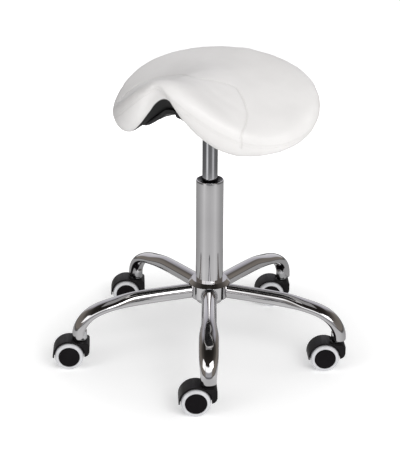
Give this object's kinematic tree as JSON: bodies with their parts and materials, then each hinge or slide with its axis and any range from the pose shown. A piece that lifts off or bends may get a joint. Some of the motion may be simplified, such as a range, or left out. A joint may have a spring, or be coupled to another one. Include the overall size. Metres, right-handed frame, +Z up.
{
  "type": "saddle stool",
  "caption": "Height-adjustable saddle stool with a padded saddle seat on a gas lift, chrome five-star base and swivelling twin-wheel casters.",
  "frame": {"origin": "the column's axis at floor level", "axes": "+Z up, -Y the way the rider faces, -X the rider's right, where the height lever is"},
  "size_m": [0.5388, 0.5176, 0.5542],
  "materials": {
    "base_chrome": "polished chrome plate",
    "stem_chrome": "bright plated steel",
    "tube_chrome": "polished gas spring tube",
    "bush_black": "gloss",
    "hood_black": "satin",
    "cap_black": "gloss",
    "tread_grey": "matte light grey",
    "steel": "bright steel",
    "inner_plastic": "natural",
    "valve_aluminium": "turned",
    "bump_rubber": "matte",
    "seat_leather": "smooth white synthetic leather",
    "seat_foam": "moulded foam",
    "shell_black": "moulded black",
    "lining_black": "thin woven",
    "bracket_black": "satin powder coat",
    "grip_black": "satin"
  },
  "bodies": {
    "base": {"base_hub": "base_chrome", "column_tube": "base_chrome", "guide_bush": "bush_black", "leg_1": "base_chrome", "leg_2": "base_chrome", "leg_3": "base_chrome", "leg_4": "base_chrome", "leg_5": "base_chrome", "stem_sockets": "stem_chrome", "caster_stems": "stem_chrome", "bearing_race_lower": "steel"},
    "spindle": {"piston_rod": "steel", "rod_clip": "steel", "bearing_race_upper": "steel", "bearing_balls": "steel", "bump_stop": "bump_rubber"},
    "seat": {"gas_cylinder": "tube_chrome", "rod_guide": "inner_plastic", "valve_body": "valve_aluminium", "seat_bracket": "bracket_black", "seat_bolts": "steel", "lever_pin": "steel", "seat_shell": "shell_black", "shell_lining": "lining_black", "seat_foam": "seat_foam", "seat_cover": "seat_leather"},
    "lever": {"lift_lever": "bracket_black", "lever_grip": "grip_black"},
    "valve": {"valve_button": "steel"},
    "caster_1": {"caster_hood_1": "hood_black", "caster_axle_1": "steel"},
    "wheel_1a": {"wheel_core_1a": "cap_black", "wheel_tread_1a": "tread_grey"},
    "wheel_1b": {"wheel_core_1b": "cap_black", "wheel_tread_1b": "tread_grey"},
    "caster_2": {"caster_hood_2": "hood_black", "caster_axle_2": "steel"},
    "wheel_2a": {"wheel_core_2a": "cap_black", "wheel_tread_2a": "tread_grey"},
    "wheel_2b": {"wheel_core_2b": "cap_black", "wheel_tread_2b": "tread_grey"},
    "caster_3": {"caster_hood_3": "hood_black", "caster_axle_3": "steel"},
    "wheel_3a": {"wheel_core_3a": "cap_black", "wheel_tread_3a": "tread_grey"},
    "wheel_3b": {"wheel_core_3b": "cap_black", "wheel_tread_3b": "tread_grey"},
    "caster_4": {"caster_hood_4": "hood_black", "caster_axle_4": "steel"},
    "wheel_4a": {"wheel_core_4a": "cap_black", "wheel_tread_4a": "tread_grey"},
    "wheel_4b": {"wheel_core_4b": "cap_black", "wheel_tread_4b": "tread_grey"},
    "caster_5": {"caster_hood_5": "hood_black", "caster_axle_5": "steel"},
    "wheel_5a": {"wheel_core_5a": "cap_black", "wheel_tread_5a": "tread_grey"},
    "wheel_5b": {"wheel_core_5b": "cap_black", "wheel_tread_5b": "tread_grey"}
  },
  "joints": [
    {"name": "seat_swivel", "type": "hinge", "parent": "base", "child": "spindle", "pos_m": [0, 0, 0.106], "axis": [0, 0, 1], "continuous": true},
    {"name": "height_slide", "type": "slide", "parent": "spindle", "child": "seat", "axis": [0, 0, 1], "range_m": [-0.075, 0.045]},
    {"name": "lever_pivot", "type": "hinge", "parent": "seat", "child": "lever", "pos_m": [-0.03367, 0.00473, 0.4533], "axis": [0.1392, 0.9903, 0], "range_deg": [0, 3.5], "stiffness_Nm_per_rad": 0.4},
    {"name": "valve_press", "type": "slide", "parent": "seat", "child": "valve", "axis": [0, 0, -1], "range_m": [0, 0.0022]},
    {"name": "caster_swivel_1", "type": "hinge", "parent": "base", "child": "caster_1", "pos_m": [0.13278, -0.20447, 0.045], "axis": [0, 0, 1], "continuous": true},
    {"name": "wheel_spin_1a", "type": "hinge", "parent": "caster_1", "child": "wheel_1a", "pos_m": [0.11472, -0.21764, 0.026], "axis": [-0.5892, 0.808, 0], "continuous": true},
    {"name": "wheel_spin_1b", "type": "hinge", "parent": "caster_1", "child": "wheel_1b", "pos_m": [0.11472, -0.21764, 0.026], "axis": [-0.5892, 0.808, 0], "continuous": true},
    {"name": "caster_swivel_2", "type": "hinge", "parent": "base", "child": "caster_2", "pos_m": [0.23549, 0.0631, 0.045], "axis": [0, 0, 1], "continuous": true},
    {"name": "wheel_spin_2a", "type": "hinge", "parent": "caster_2", "child": "wheel_2a", "pos_m": [0.21743, 0.04993, 0.026], "axis": [-0.5892, 0.808, 0], "continuous": true},
    {"name": "wheel_spin_2b", "type": "hinge", "parent": "caster_2", "child": "wheel_2b", "pos_m": [0.21743, 0.04993, 0.026], "axis": [-0.5892, 0.808, 0], "continuous": true},
    {"name": "caster_swivel_3", "type": "hinge", "parent": "base", "child": "caster_3", "pos_m": [0.01276, 0.24347, 0.045], "axis": [0, 0, 1], "continuous": true},
    {"name": "wheel_spin_3a", "type": "hinge", "parent": "caster_3", "child": "wheel_3a", "pos_m": [-0.0053, 0.2303, 0.026], "axis": [-0.5892, 0.808, 0], "continuous": true},
    {"name": "wheel_spin_3b", "type": "hinge", "parent": "caster_3", "child": "wheel_3b", "pos_m": [-0.0053, 0.2303, 0.026], "axis": [-0.5892, 0.808, 0], "continuous": true},
    {"name": "caster_swivel_4", "type": "hinge", "parent": "base", "child": "caster_4", "pos_m": [-0.22761, 0.08737, 0.045], "axis": [0, 0, 1], "continuous": true},
    {"name": "wheel_spin_4a", "type": "hinge", "parent": "caster_4", "child": "wheel_4a", "pos_m": [-0.24566, 0.0742, 0.026], "axis": [-0.5892, 0.808, 0], "continuous": true},
    {"name": "wheel_spin_4b", "type": "hinge", "parent": "caster_4", "child": "wheel_4b", "pos_m": [-0.24566, 0.0742, 0.026], "axis": [-0.5892, 0.808, 0], "continuous": true},
    {"name": "caster_swivel_5", "type": "hinge", "parent": "base", "child": "caster_5", "pos_m": [-0.15343, -0.18947, 0.045], "axis": [0, 0, 1], "continuous": true},
    {"name": "wheel_spin_5a", "type": "hinge", "parent": "caster_5", "child": "wheel_5a", "pos_m": [-0.17149, -0.20264, 0.026], "axis": [-0.5892, 0.808, 0], "continuous": true},
    {"name": "wheel_spin_5b", "type": "hinge", "parent": "caster_5", "child": "wheel_5b", "pos_m": [-0.17149, -0.20264, 0.026], "axis": [-0.5892, 0.808, 0], "continuous": true}
  ],
  "couplings": [
    {"joint": "valve_press", "follows": "lever_pivot", "m_per_rad": 0.034}
  ]
}
